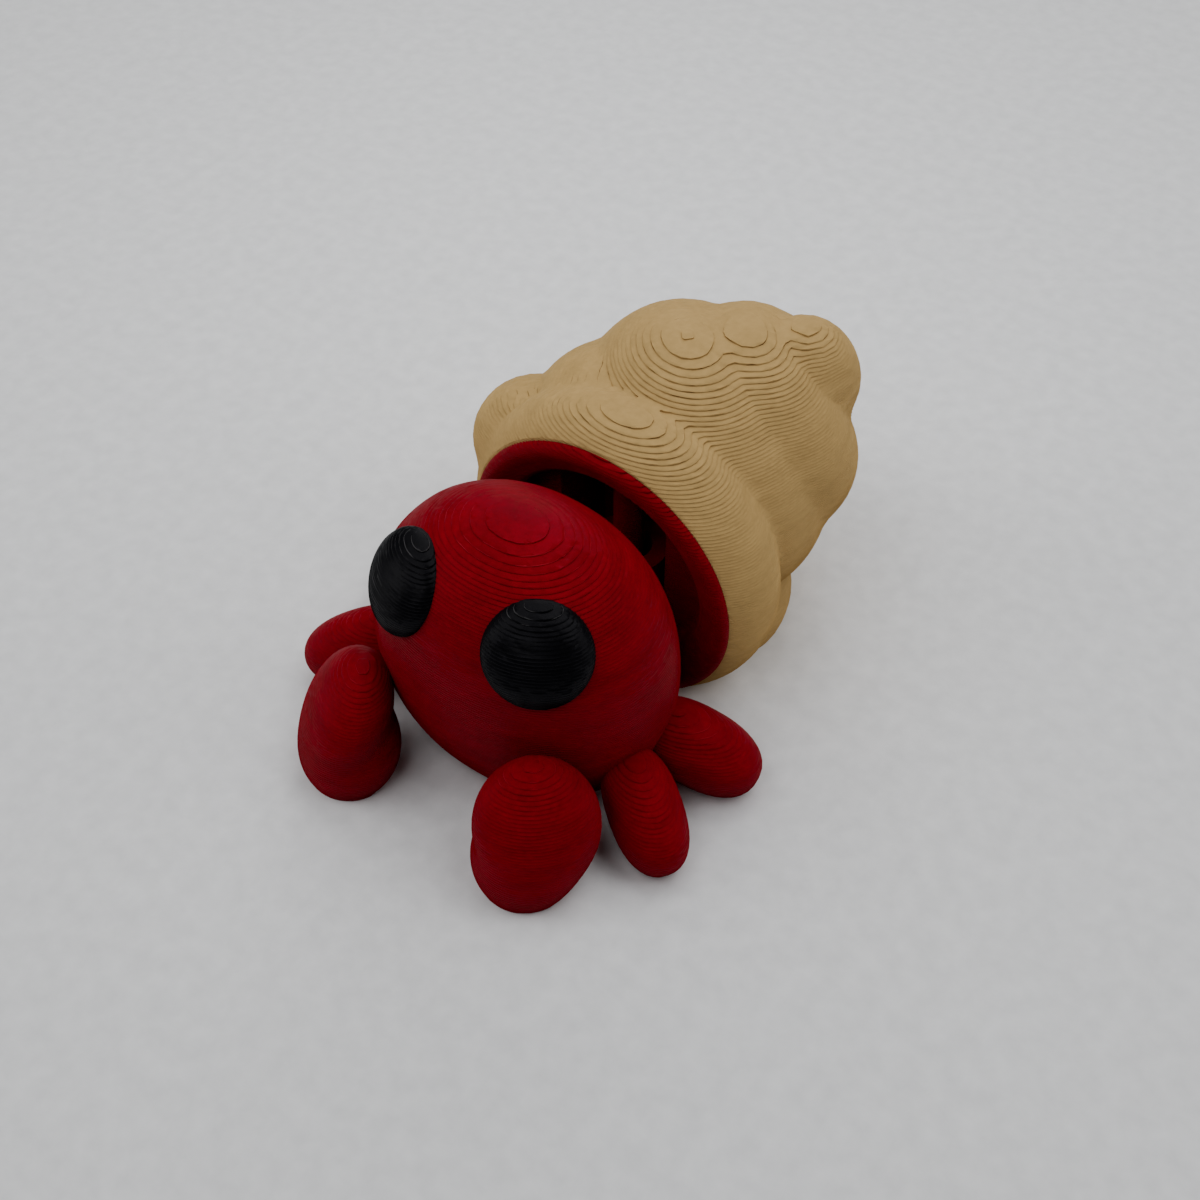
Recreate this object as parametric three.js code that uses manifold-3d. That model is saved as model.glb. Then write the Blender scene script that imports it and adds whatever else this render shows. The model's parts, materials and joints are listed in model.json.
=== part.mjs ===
// A small 3D-printed toy hermit crab: a red crab with black inlaid eyes, linked by a
// ring and a pin to the red collar of a tan spiral shell.
//
// Units are millimetres and +Z is up. The crab faces -Y, the shell lies towards +Y, and
// the crab's own left is +X. Everything is cut flat at Z = 0, the face it was printed on.

import * as THREE from 'three';
import { mergeVertices } from 'three/addons/utils/BufferGeometryUtils.js';
import Module from 'manifold-3d';

const wasm = await Module();
wasm.setup();

// ---- driving dimensions -------------------------------------------------------------

const GAP = 0.3; // clearance left between neighbouring solids
const FAR = 60; // half size of the blocks that cut things flat

// The head is an egg that leans forward, a little squared in plan and from the side (2 is
// a true ellipse, higher is squarer).
const HEAD = { centre: [0, 0, 6.3], radii: [8.2, 6.3, 8.8], lean: 5, plan: 2.1, side: 2.2 };
const TORSO_TOP = 2.4; // the low base of the body below the head

// The eyes face forward, turned to the sides and up.
const EYE = { place: [4.1, -4.3, 5.7], turn: 31, rise: 31, radius: 2.65, depth: 1.4, sink: 0.45 };

// A claw is two eggs, softly joined like a mitt. Its low one points ahead.
const CLAW_LOW = { centre: [5.65, -7.8, 1.7], radii: [2.75, 2.2, 2.95], turn: 3, droop: -40 };
const CLAW_HIGH = { centre: [6.0, -7.2, 3.8], radii: [3.1, 1.95, 3.45], turn: 42, droop: -31 };
const CLAW_SHARPNESS = 3.0; // per millimetre; higher makes a deeper notch
const CLAW_GRID = [22, 14];

// Each leg lies along a line turned from straight ahead (-Y) to the side, and droops.
const FRONT_LEG = { centre: [9.2, -2.7, 2.3], radii: [1.87, 3.36, 1.95], turn: 57, droop: 27 };
const REAR_LEG = { centre: [9.2, 2.05, 2.3], radii: [2.05, 3.46, 2.1], turn: 102, droop: 18 };
const LEG_BLUNTNESS = 0.86; // 1 is an ellipsoid, smaller is closer to a capsule

const PIN = { y: 9.0, radius: 0.8, bottom: 2.8, top: 10.6 };
const LINK = { middle: 4.8, height: 2.0, ring: 2.2, hole: 1.3, tab: 2.4, start: 6.6 };

const MOUTH = { x: 0.35, z: 6.7 }; // centre line of the collar, parallel to Y
const COLLAR = {
  lipFront: 5.4,
  lipRadius: 7.3,
  rimRadius: 8.0,
  rimBack: 5.9,
  neckRadius: 7.0,
  neckBack: 8.4,
  hole: 4.2,
};
const PIN_ARM = { inner: 3.3, outer: 4.45, front: 7.8 };

const SHELL_FRONT = 6.2;
const POCKET = { radius: COLLAR.neckRadius + GAP, back: COLLAR.neckBack + GAP };
const CAVITY = { radius: 4.9, back: 12.0 };
const SPIRE_START = 12.6; // distance along the spiral axis where the spire begins, past the cavity

// The shell's whorls: a string of balls wound round an axis that turns towards +X and
// rises to the back, and climbs it at an even pitch. One station per whole turn gives the
// distance of the ball centres from the axis and the balls' radius.
const SPIRAL = {
  foot: [-3.85, 6.0, 2.0],
  turn: 29.6,
  rise: 36.1,
  phase: -48.7,
  firstTurn: -0.51,
  lastTurn: 3.25,
  balls: 110,
  start: 3.95,
  pitch: 3.58,
  firstStation: -1,
  away: [7.55, 5.95, 2.55, 3.05, 0.85, 6.95],
  radius: [3.3, 3.5, 5.9, 4.5, 3.05, 1.8],
};
// The rolled rim round the mouth: a ring of balls in a tube that swells towards one side.
const RIM = {
  centre: [0.25, 8.0, 6.75],
  ring: 6.25,
  tube: 2.9,
  swell: 0.3,
  swellAt: 55, // degrees from the top towards +X
  inward: 0.55, // how far the ring moves in, for each millimetre of swelling
  backward: 0.75,
  balls: 40,
};
const HEEL_BALL = { centre: [3.1, 12.3, 1.65], radius: 4.75 };
const SHELL_CORE = [1.5, 10.5, 8.3]; // every point of the surface is seen from here
const SHARPNESS = 8.3; // per millimetre; higher makes deeper grooves between whorls
const SPIRAL_WEIGHT = 12 / SPIRAL.balls;
const RIM_WEIGHT = 8 / RIM.balls;
const SHELL_GRID = [47, 32];

// ---- finishes -----------------------------------------------------------------------

const redPlastic = new THREE.MeshStandardMaterial({ color: 0xa80d18, roughness: 0.6, metalness: 0 });
const blackPlastic = new THREE.MeshStandardMaterial({ color: 0x101013, roughness: 0.5, metalness: 0 });
const tanPlastic = new THREE.MeshStandardMaterial({ color: 0xc8a56e, roughness: 0.7, metalness: 0 });

// ---- solids -------------------------------------------------------------------------

// A closed three.js geometry as a solid that can be cut and joined.
function solid(geometry) {
  const bare = geometry.clone();
  bare.deleteAttribute('normal');
  bare.deleteAttribute('uv');
  const merged = mergeVertices(bare, 1e-5);
  return new wasm.Manifold(new wasm.Mesh({
    numProp: 3,
    vertProperties: new Float32Array(merged.attributes.position.array),
    triVerts: new Uint32Array(merged.index.array),
  }));
}

// A solid back as a named three.js mesh.
function piece(name, body, material) {
  const mesh = body.getMesh();
  const geometry = new THREE.BufferGeometry();
  geometry.setAttribute('position', new THREE.BufferAttribute(mesh.vertProperties, 3));
  geometry.setIndex(new THREE.BufferAttribute(mesh.triVerts, 1));
  geometry.computeVertexNormals();
  const result = new THREE.Mesh(geometry, material.clone());
  result.name = name;
  return result;
}

// A box between two corners.
function block(low, high) {
  const size = high.map((value, i) => value - low[i]);
  const box = new THREE.BoxGeometry(...size);
  box.translate(...low.map((value, i) => value + size[i] / 2));
  return solid(box);
}

const aboveFloor = block([-FAR, -FAR, 0], [FAR, FAR, FAR]);

// A round bar along Y, centred on the collar's centre line.
function mouthBar(radius, front, back) {
  const bar = new THREE.CylinderGeometry(radius, radius, back - front, 40);
  bar.translate(MOUTH.x, (front + back) / 2, MOUTH.z);
  return solid(bar);
}

// The turn of a limb: local -Y points outwards, turned to the side and drooping.
function limbTurn(side, turn, droop) {
  const angles = new THREE.Euler(
    THREE.MathUtils.degToRad(droop),
    0,
    side * THREE.MathUtils.degToRad(turn),
    'ZXY',
  );
  return new THREE.Quaternion().setFromEuler(angles);
}

// An egg: a unit sphere drawn out to three radii, then turned and placed. A bluntness
// under 1 fills out its ends along the local Y axis.
function egg(centre, radii, rotation, grid, bluntness = 1) {
  const ball = new THREE.SphereGeometry(1, ...grid);
  const points = ball.attributes.position;
  const swell = (value) => Math.sign(value) * Math.abs(value) ** bluntness;
  for (let i = 0; i < points.count; i += 1) {
    const along = points.getY(i);
    const across = Math.hypot(points.getX(i), points.getZ(i));
    const widen = across > 1e-9 ? swell(across) / across : 0;
    points.setXYZ(i, points.getX(i) * widen, swell(along), points.getZ(i) * widen);
  }
  const place = new THREE.Matrix4().compose(
    new THREE.Vector3(...centre),
    rotation,
    new THREE.Vector3(...radii),
  );
  ball.applyMatrix4(place);
  return solid(ball);
}

// How far from the core one ray leaves a turned egg. With the core and the ray drawn into
// the egg's own unit sphere as o and d, it is the greater root of |o + s d| = 1. A ray that
// misses takes the nearest thing to a root, which falls away smoothly.
function leaving(ray, core, { centre, radii, rotation }) {
  const back = rotation.clone().invert();
  const size = new THREE.Vector3(...radii);
  const o = core.clone().sub(centre).applyQuaternion(back).divide(size);
  const d = ray.clone().applyQuaternion(back).divide(size);
  const [a, b, c] = [d.lengthSq(), d.dot(o), o.lengthSq() - 1];
  const inside = b ** 2 - a * c;
  return (Math.sign(inside) * Math.sqrt(Math.abs(inside)) - b) / a;
}

// A maximum with its corners rounded off: log(sum(w exp(k s))) / k.
function softMaximum(distances, weights, sharpness) {
  const farthest = Math.max(...distances);
  const total = distances.reduce(
    (sum, distance, i) => sum + weights[i] * Math.exp(sharpness * (distance - farthest)),
    0,
  );
  return farthest + Math.log(total) / sharpness;
}

// Moves every point of a globe to its ray's reach from the core.
function stretched(globe, core, reachOf) {
  const points = globe.attributes.position;
  const ray = new THREE.Vector3();
  for (let i = 0; i < points.count; i += 1) {
    ray.fromBufferAttribute(points, i).normalize();
    const reach = reachOf(ray);
    points.setXYZ(i, ...ray.multiplyScalar(reach).add(core).toArray());
  }
  return solid(globe);
}

const mirrored = (centre, side) => [side * centre[0], centre[1], centre[2]];

// ---- the crab -----------------------------------------------------------------------

// The head's form, or the same made larger all round to leave clearance beside it.
function headForm(extra) {
  const ball = new THREE.SphereGeometry(1, 32, 22);
  ball.rotateX(Math.PI / 2);
  const points = ball.attributes.position;
  for (let i = 0; i < points.count; i += 1) {
    const direction = [points.getX(i), points.getY(i), points.getZ(i)];
    const [x, y, z] = direction.map(Math.abs);
    const around = (x ** HEAD.plan + y ** HEAD.plan) ** (1 / HEAD.plan);
    const size = (around ** HEAD.side + z ** HEAD.side) ** (1 / HEAD.side);
    points.setXYZ(i, ...direction.map((value) => value / size));
  }
  ball.scale(...HEAD.radii.map((radius) => radius + extra));
  ball.rotateX(THREE.MathUtils.degToRad(HEAD.lean));
  ball.translate(...HEAD.centre);
  return solid(ball);
}

// An eye is a flat button set square to the head, standing a little proud of it.
function eyeButton(side, extra) {
  const facing = limbTurn(side, EYE.turn, -EYE.rise);
  const out = new THREE.Vector3(0, -1, 0).applyQuaternion(facing);
  const centre = new THREE.Vector3(...mirrored(EYE.place, side)).addScaledVector(out, -EYE.sink);
  centre.add(new THREE.Vector3(...HEAD.centre));
  const radii = [EYE.radius + extra, EYE.depth + extra, EYE.radius + extra];
  return egg(centre.toArray(), radii, facing, [22, 10]);
}

function makeHead() {
  const upper = block([-FAR, -FAR, TORSO_TOP + GAP], [FAR, FAR, FAR]);
  let head = headForm(0).intersect(upper);
  for (const side of [1, -1]) {
    head = head.subtract(eyeButton(side, GAP));
  }
  return head;
}

function makeTorso() {
  const slab = block([-FAR, -FAR, 0], [FAR, FAR, TORSO_TOP]);
  return headForm(0).intersect(slab);
}

// The whole claw, or the same made larger all round.
function clawShape(side, extra) {
  const eggs = [CLAW_LOW, CLAW_HIGH].map(({ centre, radii, turn, droop }) => ({
    centre: new THREE.Vector3(...mirrored(centre, side)),
    radii: radii.map((radius) => radius + extra),
    rotation: limbTurn(side, turn, droop),
  }));
  const core = eggs[0].centre.clone().lerp(eggs[1].centre, 0.5);
  const globe = new THREE.SphereGeometry(1, ...CLAW_GRID);
  return stretched(globe, core, (ray) => {
    const reaches = eggs.map((one) => leaving(ray, core, one));
    return softMaximum(reaches, [1, 1], CLAW_SHARPNESS);
  });
}

function makeClaw(side) {
  return clawShape(side, 0).subtract(headForm(GAP)).intersect(aboveFloor);
}

function legShape(leg, side, extra) {
  const radii = leg.radii.map((radius) => radius + extra);
  const rotation = limbTurn(side, leg.turn, leg.droop);
  return egg(mirrored(leg.centre, side), radii, rotation, [18, 12], LEG_BLUNTNESS);
}

function makeFrontLeg(side) {
  const leg = legShape(FRONT_LEG, side, 0).subtract(headForm(GAP));
  return leg.subtract(clawShape(side, GAP)).intersect(aboveFloor);
}

function makeRearLeg(side) {
  const leg = legShape(REAR_LEG, side, 0).subtract(headForm(GAP));
  return leg.subtract(legShape(FRONT_LEG, side, GAP)).intersect(aboveFloor);
}

// The link behind the head: a flat tab that ends in a ring round the shell's pin.
function makeLink() {
  const half = LINK.tab / 2;
  const meet = Math.asin(half / LINK.ring); // where the tab runs into the ring
  const outline = new THREE.Shape();
  outline.moveTo(half, LINK.start);
  outline.absarc(0, PIN.y, LINK.ring, -Math.PI / 2 + meet, 1.5 * Math.PI - meet, false);
  outline.lineTo(-half, LINK.start);
  outline.closePath();
  const hole = new THREE.Path();
  hole.absarc(0, PIN.y, LINK.hole, 0, 2 * Math.PI, true);
  outline.holes.push(hole);
  const flat = new THREE.ExtrudeGeometry(outline, {
    depth: LINK.height,
    bevelEnabled: false,
    curveSegments: 20,
  });
  flat.translate(0, 0, LINK.middle - LINK.height / 2);
  return solid(flat).subtract(headForm(GAP));
}

// ---- the shell ----------------------------------------------------------------------

// The collar, turned about its centre line: a rounded lip, a bowl sloping in to a round
// hole, and a neck that plugs into the shell. Two arms behind it hold the upright pin.
function makeCollar() {
  const { lipFront, lipRadius, rimRadius, rimBack, neckRadius, neckBack, hole } = COLLAR;
  const profile = [
    [hole, neckBack],
    [hole, 7.7],
    [4.6, 7.3],
    [5.8, 6.7],
    [6.6, 6.0],
    [7.0, 5.55],
    [lipRadius, lipFront],
    [7.7, 5.5],
    [rimRadius, 5.75],
    [rimRadius, rimBack],
    [neckRadius, rimBack],
    [neckRadius, neckBack],
    [hole, neckBack],
  ];
  const turned = new THREE.LatheGeometry(profile.map(([r, y]) => new THREE.Vector2(r, y)), 40);
  turned.translate(MOUTH.x, 0, MOUTH.z);
  let collar = solid(turned);

  const pin = new THREE.CylinderGeometry(PIN.radius, PIN.radius, PIN.top - PIN.bottom, 16);
  pin.rotateX(Math.PI / 2);
  pin.translate(0, PIN.y, (PIN.top + PIN.bottom) / 2);
  collar = collar.add(solid(pin));

  for (const way of [1, -1]) {
    const heights = [MOUTH.z + way * PIN_ARM.inner, MOUTH.z + way * PIN_ARM.outer];
    heights.sort((a, b) => a - b);
    const low = [-PIN.radius, PIN_ARM.front, heights[0]];
    const high = [PIN.radius, PIN.y + PIN.radius, heights[1]];
    collar = collar.add(block(low, high));
  }
  return collar.intersect(aboveFloor);
}

// The direction of the spiral's axis, and the two directions square to it.
function spiralAxes() {
  const turn = THREE.MathUtils.degToRad(SPIRAL.turn);
  const rise = THREE.MathUtils.degToRad(SPIRAL.rise);
  const axis = new THREE.Vector3(
    Math.sin(turn) * Math.cos(rise),
    Math.cos(turn) * Math.cos(rise),
    Math.sin(rise),
  );
  const level = new THREE.Vector3().crossVectors(axis, new THREE.Vector3(0, 0, 1)).normalize();
  const upward = new THREE.Vector3().crossVectors(level, axis);
  return { axis, level, upward };
}

function spiralBalls() {
  const { axis, level, upward } = spiralAxes();
  const foot = new THREE.Vector3(...SPIRAL.foot);
  const track = new THREE.CatmullRomCurve3(
    SPIRAL.away.map((away, i) => new THREE.Vector3(away, SPIRAL.radius[i], 0)),
    false,
    'catmullrom',
  );
  return Array.from({ length: SPIRAL.balls }, (_, i) => {
    const turn = THREE.MathUtils.lerp(SPIRAL.firstTurn, SPIRAL.lastTurn, i / (SPIRAL.balls - 1));
    const sinceStation = turn - SPIRAL.firstStation;
    const { x: away, y: radius } = track.getPoint(sinceStation / (SPIRAL.away.length - 1));
    const angle = THREE.MathUtils.degToRad(SPIRAL.phase) + 2 * Math.PI * turn;
    const centre = foot.clone()
      .addScaledVector(axis, SPIRAL.start + SPIRAL.pitch * sinceStation)
      .addScaledVector(level, away * Math.cos(angle))
      .addScaledVector(upward, away * Math.sin(angle));
    return { centre, radius, weight: SPIRAL_WEIGHT };
  });
}

function rimBalls() {
  const swellAt = THREE.MathUtils.degToRad(RIM.swellAt);
  return Array.from({ length: RIM.balls }, (_, i) => {
    const angle = (2 * Math.PI * i) / RIM.balls;
    const extra = (RIM.swell * (1 + Math.cos(angle - swellAt))) / 2;
    const ring = RIM.ring - RIM.inward * extra;
    const centre = new THREE.Vector3(...RIM.centre).add(new THREE.Vector3(
      ring * Math.sin(angle),
      RIM.backward * extra,
      ring * Math.cos(angle),
    ));
    return { centre, radius: RIM.tube + extra, weight: RIM_WEIGHT };
  });
}

function heelBall() {
  return { centre: new THREE.Vector3(...HEEL_BALL.centre), radius: HEEL_BALL.radius, weight: 1 };
}

// The shell's whole outer form, on a globe grid with its poles on the spiral's axis.
function shellForm() {
  const core = new THREE.Vector3(...SHELL_CORE);
  const rotation = new THREE.Quaternion();
  const balls = [...spiralBalls(), ...rimBalls(), heelBall()]
    .map(({ centre, radius, weight }) => ({
      centre,
      radii: [radius, radius, radius],
      rotation,
      weight,
    }));
  const weights = balls.map(({ weight }) => weight);
  const globe = new THREE.SphereGeometry(1, ...SHELL_GRID);
  const { axis } = spiralAxes();
  globe.applyQuaternion(new THREE.Quaternion().setFromUnitVectors(new THREE.Vector3(0, 1, 0), axis));
  return stretched(globe, core, (ray) => {
    const reaches = balls.map((ball) => leaving(ray, core, ball));
    return softMaximum(reaches, weights, SHARPNESS);
  });
}

// A half space beyond a place on the spiral's axis, as a turned block.
function beyondOnAxis(distance) {
  const { axis } = spiralAxes();
  const box = new THREE.BoxGeometry(2 * FAR, 2 * FAR, 2 * FAR);
  box.translate(0, FAR, 0);
  box.applyQuaternion(new THREE.Quaternion().setFromUnitVectors(new THREE.Vector3(0, 1, 0), axis));
  const place = new THREE.Vector3(...SPIRAL.foot).addScaledVector(axis, distance);
  box.translate(...place.toArray());
  return solid(box);
}

// The shell behind the mouth, hollowed for the collar's neck, the pin and the ring.
function makeShell() {
  const behindMouth = block([-FAR, SHELL_FRONT, 0], [FAR, FAR, FAR]);
  return shellForm()
    .intersect(behindMouth)
    .subtract(mouthBar(POCKET.radius, 0, POCKET.back))
    .subtract(mouthBar(CAVITY.radius, 0, CAVITY.back));
}

// ---- the whole toy ------------------------------------------------------------------

const crab = new THREE.Group();
crab.add(piece('head', makeHead(), redPlastic));
crab.add(piece('torso', makeTorso(), redPlastic));
crab.add(piece('neck_link', makeLink(), redPlastic));
for (const [name, side] of [['left', 1], ['right', -1]]) {
  crab.add(piece(`eye_${name}`, eyeButton(side, 0), blackPlastic));
  crab.add(piece(`claw_${name}`, makeClaw(side), redPlastic));
  crab.add(piece(`front_leg_${name}`, makeFrontLeg(side), redPlastic));
  crab.add(piece(`rear_leg_${name}`, makeRearLeg(side), redPlastic));
}

const shell = new THREE.Group();
const whole = makeShell();
shell.add(piece('collar', makeCollar(), redPlastic));
shell.add(piece('shell_body_whorl', whole.subtract(beyondOnAxis(SPIRE_START)), tanPlastic));
shell.add(piece('shell_spire', whole.intersect(beyondOnAxis(SPIRE_START + GAP)), tanPlastic));

// The origin is on the floor, below the middle of the toy's own box.
const toy = new THREE.Group();
toy.add(crab, shell);
const box = new THREE.Box3().setFromObject(toy);
toy.position.set(-(box.min.x + box.max.x) / 2, -(box.min.y + box.max.y) / 2, 0);

export default toy;
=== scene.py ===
"""A small 3D-printed toy hermit crab, shown the way a printer builds it: in flat layers.

Each form is first a smooth surface worked out from a formula. Some forms are joined or cut
by others, and layered() then cuts each piece into printed layers with rounded edges.

Sizes are in millimetres in the toy's own frame (+Z up, the crab facing -Y, its left at
+X, the origin on the floor below the middle of the head). The last step of making a mesh
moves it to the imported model's frame and turns millimetres into metres.
"""

import json
import math

import bpy
import numpy as np
from mathutils import Matrix


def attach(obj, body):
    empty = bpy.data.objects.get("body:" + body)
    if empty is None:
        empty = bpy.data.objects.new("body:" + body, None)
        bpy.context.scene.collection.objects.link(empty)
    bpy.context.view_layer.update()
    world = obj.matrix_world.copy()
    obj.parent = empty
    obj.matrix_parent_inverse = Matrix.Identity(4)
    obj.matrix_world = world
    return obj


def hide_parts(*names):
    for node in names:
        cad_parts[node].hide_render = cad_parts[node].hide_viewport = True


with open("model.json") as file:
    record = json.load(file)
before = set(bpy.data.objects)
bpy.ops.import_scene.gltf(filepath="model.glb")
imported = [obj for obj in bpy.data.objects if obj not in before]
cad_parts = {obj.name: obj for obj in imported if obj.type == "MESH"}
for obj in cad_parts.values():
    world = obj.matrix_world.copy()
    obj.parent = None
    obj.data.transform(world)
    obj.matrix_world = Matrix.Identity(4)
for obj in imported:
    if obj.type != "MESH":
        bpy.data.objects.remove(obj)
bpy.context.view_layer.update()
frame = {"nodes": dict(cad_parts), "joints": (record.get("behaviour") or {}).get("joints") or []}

MM = 0.001

# ---- sizes, in millimetres ------------------------------------------------------------

LAYER = 0.15  # height of one printed layer
FIRST_LAYER = 0.2  # the layer on the print bed is a little thicker
BEAD = 0.012  # how far a layer's edge bulges out, and how deep the groove between two is
STEP = 0.55  # how much of each layer is a true step; the rest is melted into a slope
RED_STEP = 0.4  # the same for the crab, whose layers are melted further together
STEP_CHANGE = 0.5  # how much that changes from place to place
STEP_PATCH = 2.1  # how much smaller the patches of that change are than those of WANDER
STEEP_STEP = 0.3  # the share of a step that is left where the surface is steep
WANDER = 0.07  # how far, in layers, a layer's edge strays up or down the surface
# The upward part of the normal (0 on a wall, 1 on a flat) where a surface counts as steep
# and as gentle, and where layer edges start to show in colour and show in full; that colour
# is the painted highlight and shade along the edges.
STEEP_UP, GENTLE_UP = 0.5, 0.85
EDGE_START_UP, EDGE_FULL_UP = 0.6, 0.9
# How strongly each row of an edge takes the painted highlight and shade.
EDGE_FOOT, EDGE_WAIST, EDGE_BROW = 0.6, 1.0, 0.8  # how plainly each row of an edge shows
LEAST_LEAN = 0.3  # surfaces flatter than this have shallower grooves
CUT_MARGIN, CUT_NUDGE = 1e-5, 3e-5  # in layers: points this near a cut are moved off it
# The waves of a surface's unevenness: strength, radians per millimetre along X, Y and Z,
# and start.
WAVES = (
    (0.35, (2.3, 0.9, 0.0), 0.6),
    (0.35, (-1.7, 3.1, 1.9), 2.0),
    (0.2, (6.7, -5.1, 0.0), 0.4),
    (0.2, (7.9, 9.3, -3.0), 1.1),
)

HEAD_CENTRE = np.array([0.0, 0.0, 6.3])
HEAD_RADII = np.array([8.2, 6.3, 8.8])
HEAD_LEAN = 5.0  # degrees
HEAD_PLAN, HEAD_SIDE = 2.1, 2.2  # squareness of its sections; 2 is a true ellipse

EYE_PLACE = np.array([4.1, -4.3, 5.7])
EYE_TURN, EYE_RISE = 31.0, 31.0
EYE_RADIUS, EYE_DEPTH, EYE_SINK = 2.65, 1.4, 0.45

# Limbs lie along local -Y, turned to the side and drooping: centre, radii, turn, droop.
# A claw is two eggs, softly joined.
CLAW_LOW = dict(centre=(5.65, -7.8, 1.7), radii=(2.75, 2.2, 2.95), turn=3, droop=-40)
CLAW_HIGH = dict(centre=(6.0, -7.2, 3.8), radii=(3.1, 1.95, 3.45), turn=42, droop=-31)
CLAW_SHARPNESS = 3.0
FRONT_LEG = dict(centre=(9.2, -2.7, 2.3), radii=(1.87, 3.36, 1.95), turn=57, droop=27)
REAR_LEG = dict(centre=(9.2, 2.05, 2.3), radii=(2.05, 3.46, 2.1), turn=102, droop=18)
LEG_BLUNTNESS = 0.86  # 1 is an ellipsoid, smaller is closer to a capsule
ROOT_DEPTH = 0.94  # a limb's root ends on the head's form drawn in by this factor

PIN_Y, PIN_RADIUS, PIN_BOTTOM, PIN_TOP = 9.0, 0.8, 2.8, 11.6  # the upright pin of the neck

MOUTH_X, MOUTH_Z = 0.35, 6.7  # the collar's centre line, parallel to Y
# The collar's section from the middle of its back round its rim and lip to the middle of
# its front, as (radius, y).
COLLAR_SECTION = (
    (0.0, 11.85),
    (5.2, 11.85),
    (5.95, 11.8),
    (5.98, 10.0),
    (6.0, 8.5),
    (7.0, 8.45),
    (7.02, 7.0),
    (7.05, 5.92),
    (7.6, 5.91),
    (7.95, 5.9),
    (8.0, 5.82),
    (7.96, 5.66),
    (7.82, 5.5),
    (7.6, 5.42),
    (7.4, 5.42),
    (7.15, 5.5),
    (6.85, 5.66),
    (6.5, 5.84),
    (6.2, 6.0),
    (5.98, 6.25),
    (5.85, 6.6),
    (5.8, 7.0),
    (5.7, 7.3),
    (5.5, 7.5),
    (4.0, 7.55),
    (0.0, 7.55),
)
# The room that the link swings in: half its width, its radius, and its front and back.
SLOT_HALF_WIDTH, SLOT_RADIUS, SLOT_FRONT, SLOT_BACK = 3.3, 5.7, 7.0, 11.5
# The two arms that hold the pin: where they begin below and above the collar's centre line,
# their front, and how far they run into the room's wall.
ARM_LOW, ARM_HIGH, ARM_FRONT, ARM_OVERLAP = -3.3, 4.6, 7.8, 0.1

# The spiral of balls that the shell is made of: one station for each whole turn, with its
# distance from the axis and the ball's radius. The balls climb the axis at an even pitch.
SPIRAL_FOOT = np.array([-3.85, 6.0, 2.0])
SPIRAL_TURN, SPIRAL_RISE, SPIRAL_PHASE = 29.6, 36.1, -48.7
SPIRAL_AWAY = np.array([7.55, 5.95, 2.55, 3.05, 0.85, 6.95])
SPIRAL_RADIUS = np.array([3.3, 3.5, 5.9, 4.5, 3.05, 1.8])
SPIRAL_START, SPIRAL_PITCH = 3.95, 3.58
FIRST_STATION = -1
FIRST_TURN, LAST_TURN, BALLS = -0.51, 3.25, 220
HEEL_BALL = (3.1, 12.3, 1.65, 4.75)  # centre and radius
# The rolled rim round the mouth: a ring of balls in a tube that swells towards one side,
# where the ring also moves in and back.
RIM_CENTRE, RIM_RADIUS, RIM_TUBE, RIM_BALLS = np.array([0.25, 8.0, 6.75]), 6.25, 2.9, 60
RIM_SWELL, RIM_SWELL_AT = 0.3, 55.0  # degrees from the top towards +X
RIM_INWARD, RIM_BACKWARD = 0.55, 0.75  # for each millimetre of swelling
SHELL_CORE = np.array([1.5, 10.5, 8.3])  # a point well inside, that the shell is measured from
SHARPNESS = 8.3  # of the grooves where the balls of two turns meet
SPIRAL_WEIGHT, RIM_WEIGHT = 12 / BALLS, 8 / RIM_BALLS  # of each ball in the soft maximum
# What is cut away in front of the shell, and the room behind its mouth, as (radius, y).
MOUTH_SECTION = (
    (0.0, 11.95),
    (6.0, 11.9),
    (6.1, 8.8),
    (7.2, 8.7),
    (7.3, 6.0),
    (7.4, 5.9),
    (14.0, 5.8),
    (40.0, 5.0),
    (40.0, -30.0),
    (0.0, -30.0),
)

# How finely a form is divided before it is cut into layers: columns round, rows down.
HEAD_GRID, EYE_GRID, CLAW_GRID = (96, 72), (56, 36), (56, 40)
LEG_GRID, SHELL_GRID = (40, 28), (98, 65)
COLLAR_COLUMNS, ROOM_COLUMNS, MOUTH_COLUMNS, PIN_COLUMNS = 104, 96, 120, 40

# The pin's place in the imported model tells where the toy's own frame lies in it.
pin_place = np.array(frame["joints"][0]["pos_m"])
TOY_SHIFT = np.array([0.0, pin_place[1] / MM - PIN_Y, 0.0])


# ---- smooth forms ---------------------------------------------------------------------


def turn_x(degrees):
    """The matrix that turns about X."""
    c, s = math.cos(math.radians(degrees)), math.sin(math.radians(degrees))
    return np.array([[1, 0, 0], [0, c, -s], [0, s, c]])


def turn_z(degrees):
    """The matrix that turns about Z."""
    c, s = math.cos(math.radians(degrees)), math.sin(math.radians(degrees))
    return np.array([[c, -s, 0], [s, c, 0], [0, 0, 1]])


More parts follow.
